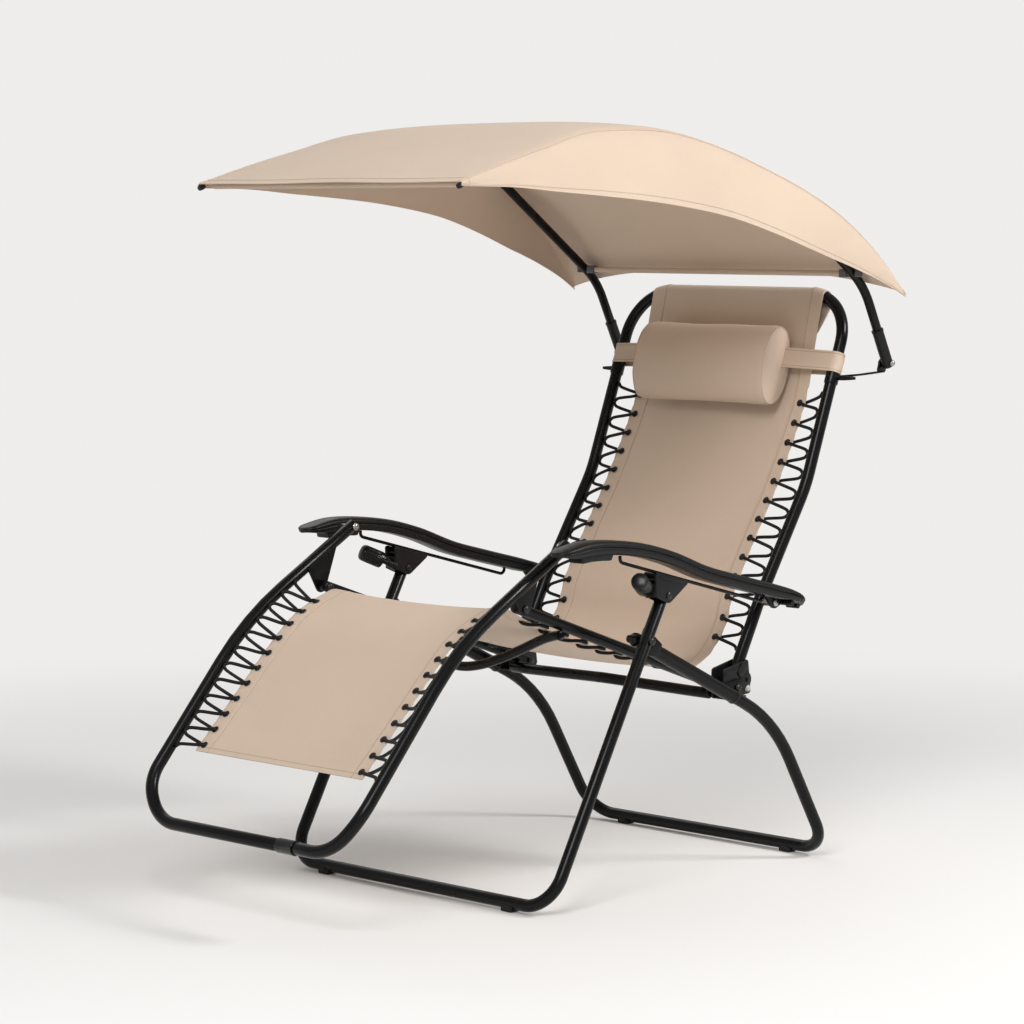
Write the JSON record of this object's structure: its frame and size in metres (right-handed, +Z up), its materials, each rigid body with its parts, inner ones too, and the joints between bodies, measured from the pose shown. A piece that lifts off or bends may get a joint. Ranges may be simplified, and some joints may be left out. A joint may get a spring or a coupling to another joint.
{
  "type": "sun lounger with canopy",
  "caption": "Folding reclining lounger: laced fabric sling on a bent-tube frame, sliding plastic arms with lock knobs, headrest bolster and a tilting fabric canopy on two bent arms.",
  "frame": {"origin": "on the floor, under the middle of the bounding box", "axes": "+X to the sitter's left, +Y from the foot bar to the back, +Z up"},
  "size_m": [0.84, 1.2988, 1.346],
  "materials": {
    "satin_black_paint": "satin",
    "black_plastic": "matte",
    "rubber": "matte",
    "elastic_cord": "woven",
    "beige_fabric": "woven",
    "zinc_steel": "satin",
    "blackened_steel": "satin"
  },
  "bodies": {
    "rear_legs": {"rear_leg_frame": "satin_black_paint", "rear_leg_sleeve_left": "satin_black_paint", "rear_leg_sleeve_right": "satin_black_paint", "leg_pivot_bolt_left": "blackened_steel", "leg_pivot_bolt_right": "blackened_steel", "rear_foot_left": "rubber", "rear_foot_right": "rubber"},
    "front_legs": {"front_leg_frame": "satin_black_paint", "pivot_saddle_left": "satin_black_paint", "pivot_saddle_right": "satin_black_paint", "front_foot_left": "rubber", "front_foot_right": "rubber"},
    "lock_brackets": {"lock_bracket_left": "black_plastic", "lock_bracket_right": "black_plastic"},
    "knob_left": {"lock_knob_left": "black_plastic"},
    "knob_right": {"lock_knob_right": "black_plastic"},
    "seat": {"seat_rail_left": "satin_black_paint", "seat_rail_right": "satin_black_paint", "front_cross_bar": "satin_black_paint", "rear_cross_bar": "satin_black_paint", "hub_bolt_left": "blackened_steel", "hub_bolt_right": "blackened_steel", "seat_sling": "beige_fabric", "seat_lacing_left": "elastic_cord", "seat_lacing_right": "elastic_cord"},
    "hubs": {"hub_plates_left": "black_plastic", "hub_plates_right": "black_plastic"},
    "knees": {"knee_bolt_left": "blackened_steel", "knee_bolt_right": "blackened_steel"},
    "foot": {"foot_frame_left": "satin_black_paint", "foot_frame_right": "satin_black_paint", "arm_front_pin_left": "zinc_steel", "arm_front_pin_right": "zinc_steel", "foot_sling": "beige_fabric", "foot_lacing_left": "elastic_cord", "foot_lacing_right": "elastic_cord"},
    "back": {"back_frame": "satin_black_paint", "back_sling": "beige_fabric", "back_lacing_left": "elastic_cord", "back_lacing_right": "elastic_cord", "canopy_bracket_left": "satin_black_paint", "canopy_bracket_right": "satin_black_paint", "canopy_pivot_bolt_left": "zinc_steel", "canopy_pivot_bolt_right": "zinc_steel"},
    "headrest": {"headrest_pillow": "beige_fabric", "headrest_strap": "beige_fabric"},
    "arm_pins": {"arm_pivot_bolt_left": "zinc_steel", "arm_pivot_bolt_right": "zinc_steel"},
    "arms": {"armrest_left": "black_plastic", "armrest_right": "black_plastic", "slide_rod_left": "satin_black_paint", "slide_rod_right": "satin_black_paint"},
    "canopy": {"canopy_cover": "beige_fabric", "canopy_arm_left": "satin_black_paint", "canopy_arm_right": "satin_black_paint", "canopy_sleeve_left": "black_plastic", "canopy_sleeve_right": "black_plastic", "front_batten": "satin_black_paint", "rear_batten": "satin_black_paint"}
  },
  "joints": [
    {"name": "seat_tilt", "type": "hinge", "parent": "rear_legs", "child": "seat", "pos_m": [0, 0.28022, 0.3391], "axis": [-1, 0, 0], "range_deg": [0, 8.97]},
    {"name": "recline", "type": "hinge", "parent": "seat", "child": "hubs", "pos_m": [0, 0.28022, 0.3391], "axis": [-1, 0, 0], "range_deg": [0, 23.04]},
    {"name": "fold", "type": "hinge", "parent": "hubs", "child": "back", "pos_m": [0, 0.28022, 0.3391], "axis": [-1, 0, 0], "range_deg": [-60, 0]},
    {"name": "foot_recline", "type": "hinge", "parent": "seat", "child": "knees", "pos_m": [0, -0.22768, 0.5194], "axis": [-1, 0, 0], "range_deg": [0, 35.74]},
    {"name": "foot_fold", "type": "hinge", "parent": "knees", "child": "foot", "pos_m": [0, -0.22768, 0.5194], "axis": [-1, 0, 0], "range_deg": [-77.17, 0]},
    {"name": "arm_recline", "type": "hinge", "parent": "back", "child": "arm_pins", "pos_m": [0, 0.35852, 0.4884], "axis": [-1, 0, 0], "range_deg": [-25.93, 0]},
    {"name": "arm_fold", "type": "hinge", "parent": "arm_pins", "child": "arms", "pos_m": [0, 0.35852, 0.4884], "axis": [-1, 0, 0], "range_deg": [0, 61.75]},
    {"name": "leg_fold", "type": "hinge", "parent": "rear_legs", "child": "front_legs", "pos_m": [0, -0.00028, 0.452], "axis": [-1, 0, 0], "range_deg": [-70.15, 0]},
    {"name": "bracket_fold", "type": "hinge", "parent": "front_legs", "child": "lock_brackets", "pos_m": [0, 0.03922, 0.5285], "axis": [-1, 0, 0], "range_deg": [0, 71.89]},
    {"name": "canopy_tilt", "type": "hinge", "parent": "back", "child": "canopy", "pos_m": [0, 0.63672, 0.912], "axis": [-1, 0, 0], "range_deg": [-10, 60]},
    {"name": "headrest_slide", "type": "slide", "parent": "back", "child": "headrest", "axis": [0, 0.347, 0.9379], "range_m": [0, 0.025]},
    {"name": "lock_knob_left", "type": "hinge", "parent": "lock_brackets", "child": "knob_left", "pos_m": [0.3223, 0.00972, 0.534], "axis": [0.4494, -0.799, 0.3995], "range_deg": [0, 120]},
    {"name": "lock_knob_right", "type": "hinge", "parent": "lock_brackets", "child": "knob_right", "pos_m": [-0.3223, 0.00972, 0.534], "axis": [-0.4494, -0.799, 0.3995], "range_deg": [0, 120]}
  ],
  "couplings": [
    {"joint": "seat_tilt", "follows": "recline", "ratio": 0.389},
    {"joint": "foot_recline", "follows": "recline", "ratio": 1.551},
    {"joint": "arm_recline", "follows": "recline", "ratio": -1.125},
    {"joint": "foot_fold", "follows": "fold", "ratio": 1.286},
    {"joint": "arm_fold", "follows": "fold", "ratio": -1.029},
    {"joint": "leg_fold", "follows": "fold", "ratio": 1.169},
    {"joint": "bracket_fold", "follows": "fold", "ratio": -1.198}
  ]
}
